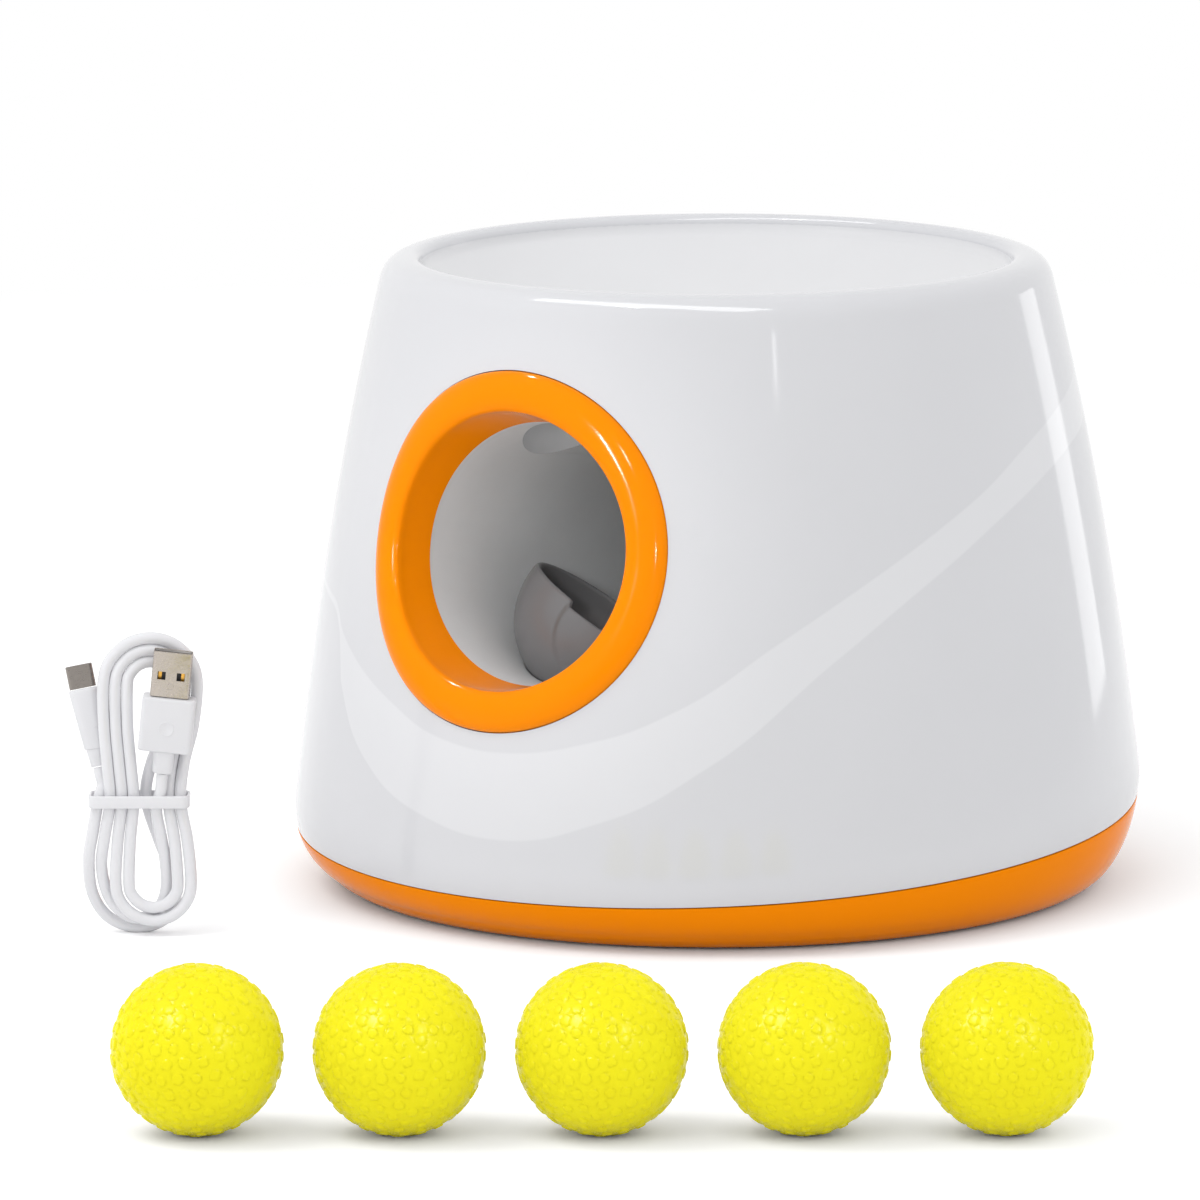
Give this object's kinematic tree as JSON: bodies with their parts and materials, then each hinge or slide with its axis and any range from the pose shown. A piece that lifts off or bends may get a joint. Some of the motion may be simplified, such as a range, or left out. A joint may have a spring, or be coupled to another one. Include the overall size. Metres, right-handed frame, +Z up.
{
  "type": "automatic ball launcher for dogs",
  "caption": "Round tapered ball launcher for dogs with an open top hopper, a slanting launch port with a sliding spring cup, bumpy foam balls and a tied charging cable.",
  "frame": {"origin": "on the launcher's axis, at the underside of its round rubber pad, where it stands on the floor", "axes": "+Z up along the launcher's axis; -Y out of the launch port; +X across, towards the gear train's side"},
  "size_m": [0.4294, 0.5465, 0.1993],
  "materials": {
    "white_shell": "gloss",
    "orange_trim": "gloss",
    "grey_barrel": "satin",
    "dark_grey": "satin",
    "frame_black": "matte",
    "gear_acetal": "satin",
    "steel": "satin",
    "bush_bronze": "satin",
    "rubber_pad": "matte",
    "board_green": "satin",
    "cell_wrap": "gloss",
    "lens_clear": "gloss",
    "yellow_ball": "matte",
    "cable_white": "satin",
    "plug_white": "gloss"
  },
  "bodies": {
    "launcher": {"outer_shell": "white_shell", "hopper_funnel": "white_shell", "port_ring": "orange_trim", "base_tray": "orange_trim", "launch_barrel": "grey_barrel", "control_panel": "dark_grey", "mechanism_frame": "frame_black", "gearbox_plate": "frame_black", "battery_holder": "frame_black", "buzzer": "frame_black", "ball_sensor_emitter": "frame_black", "ball_sensor_receiver": "frame_black", "case_screw_1": "steel", "case_screw_2": "steel", "case_screw_3": "steel", "case_screw_4": "steel", "guide_rod_left": "steel", "guide_rod_right": "steel", "spring_rod": "steel", "launch_spring": "steel", "idler_axle": "steel", "drive_motor": "steel", "usb_inlet": "steel", "sector_bush_inner": "bush_bronze", "sector_bush_outer": "bush_bronze", "foot_pad": "rubber_pad", "control_board": "board_green", "home_switch": "board_green", "battery_cell_1": "cell_wrap", "battery_cell_2": "cell_wrap", "status_lens_1": "lens_clear", "status_lens_2": "lens_clear", "status_lens_3": "lens_clear", "battery_lead": "cable_white", "motor_lead": "cable_white"},
    "carriage": {"cup_carriage": "frame_black", "launch_cup": "dark_grey", "drive_rack": "gear_acetal"},
    "sector": {"sector_shaft": "steel", "sector_gear": "gear_acetal", "drive_wheel": "gear_acetal"},
    "idler": {"idler_gear": "gear_acetal"},
    "motor_gear": {"motor_pinion": "bush_bronze"},
    "power_key": {"power_button": "orange_trim"},
    "distance_key": {"distance_button": "orange_trim"},
    "loose_ball_1": {"ball_1": "yellow_ball"},
    "loose_ball_2": {"ball_2": "yellow_ball"},
    "loose_ball_3": {"ball_3": "yellow_ball"},
    "loose_ball_4": {"ball_4": "yellow_ball"},
    "loose_ball_5": {"ball_5": "yellow_ball"},
    "cable": {"charging_cable": "cable_white", "cable_tie": "cable_white", "usb_a_overmould": "plug_white", "usb_a_shell": "steel", "usb_c_overmould": "plug_white", "usb_c_shell": "steel"}
  },
  "joints": [
    {"name": "carriage_slide", "type": "slide", "parent": "launcher", "child": "carriage", "axis": [0, 0.9848, -0.1736], "range_m": [0, 0.036], "stiffness_N_per_m": 150, "springref_m": -0.02, "deforming": ["launch_spring"]},
    {"name": "sector_spin", "type": "hinge", "parent": "launcher", "child": "sector", "pos_m": [0.049, -0.02521, 0.06187], "axis": [1, 0, 0], "range_deg": [0, 126]},
    {"name": "idler_spin", "type": "hinge", "parent": "launcher", "child": "idler", "pos_m": [0.062, -0.00377, 0.05321], "axis": [1, 0, 0], "range_deg": [-390, 0]},
    {"name": "motor_spin", "type": "hinge", "parent": "launcher", "child": "motor_gear", "pos_m": [0.065, 0.01927, 0.05522], "axis": [1, 0, 0], "range_deg": [0, 1212]},
    {"name": "power_press", "type": "slide", "parent": "launcher", "child": "power_key", "axis": [0, -0.9889, -0.1484], "range_m": [0, 0.0012], "stiffness_N_per_m": 300},
    {"name": "distance_press", "type": "slide", "parent": "launcher", "child": "distance_key", "axis": [0, -0.9889, -0.1484], "range_m": [0, 0.0012], "stiffness_N_per_m": 300},
    {"name": "ball_1_lift", "type": "slide", "parent": "launcher", "child": "loose_ball_1", "axis": [0, 0, 1], "range_m": [0, 0.25]},
    {"name": "ball_2_lift", "type": "slide", "parent": "launcher", "child": "loose_ball_2", "axis": [0, 0, 1], "range_m": [0, 0.25]},
    {"name": "ball_3_lift", "type": "slide", "parent": "launcher", "child": "loose_ball_3", "axis": [0, 0, 1], "range_m": [0, 0.25]},
    {"name": "ball_4_lift", "type": "slide", "parent": "launcher", "child": "loose_ball_4", "axis": [0, 0, 1], "range_m": [0, 0.25]},
    {"name": "ball_5_lift", "type": "slide", "parent": "launcher", "child": "loose_ball_5", "axis": [0, 0, 1], "range_m": [0, 0.25]},
    {"name": "cable_lift", "type": "slide", "parent": "launcher", "child": "cable", "axis": [0, 0, 1], "range_m": [0, 0.25]}
  ],
  "couplings": [
    {"joint": "sector_spin", "follows": "carriage_slide", "rad_per_m": 60.606},
    {"joint": "idler_spin", "follows": "carriage_slide", "rad_per_m": -188.55},
    {"joint": "motor_spin", "follows": "carriage_slide", "rad_per_m": 586.61}
  ]
}
